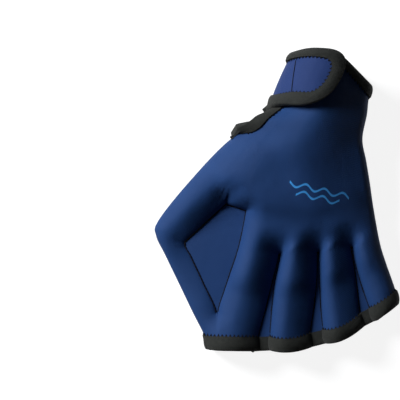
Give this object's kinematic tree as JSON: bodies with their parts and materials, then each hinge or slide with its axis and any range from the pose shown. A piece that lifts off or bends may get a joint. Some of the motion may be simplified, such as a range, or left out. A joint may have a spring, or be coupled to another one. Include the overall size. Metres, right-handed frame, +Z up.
{
  "type": "webbed swim glove",
  "caption": "Webbed swim glove in soft neoprene: open finger tubes and a closed thumb joined by webs, with bound edges and a wrist strap.",
  "frame": {"origin": "middle of the bounding box's underside, on the ground the palm lies on", "axes": "+Z up out of the back of the hand, +Y from the fingers to the wrist, the thumb towards -X"},
  "size_m": [0.1682, 0.2092, 0.0492],
  "materials": {
    "neoprene": "navy knit over foam rubber, matt with a soft sheen",
    "strap_neoprene": "navy knit over foam rubber, matt with a soft sheen",
    "binding_tape": "charcoal stretch tape, matt",
    "hook_and_loop": "black hook and loop pile, matt"
  },
  "bodies": {
    "root": {"back_panel": "neoprene", "palm_panel": "neoprene", "thumb_web": "neoprene", "index_middle_web": "neoprene", "middle_ring_web": "neoprene", "ring_little_web": "neoprene", "hem_binding_back": "binding_tape", "hem_binding_palm": "binding_tape", "wrist_binding_back": "binding_tape", "wrist_binding_palm": "binding_tape", "wrist_strap": "strap_neoprene", "strap_binding": "binding_tape", "hook_and_loop_pad": "hook_and_loop"}
  },
  "joints": []
}
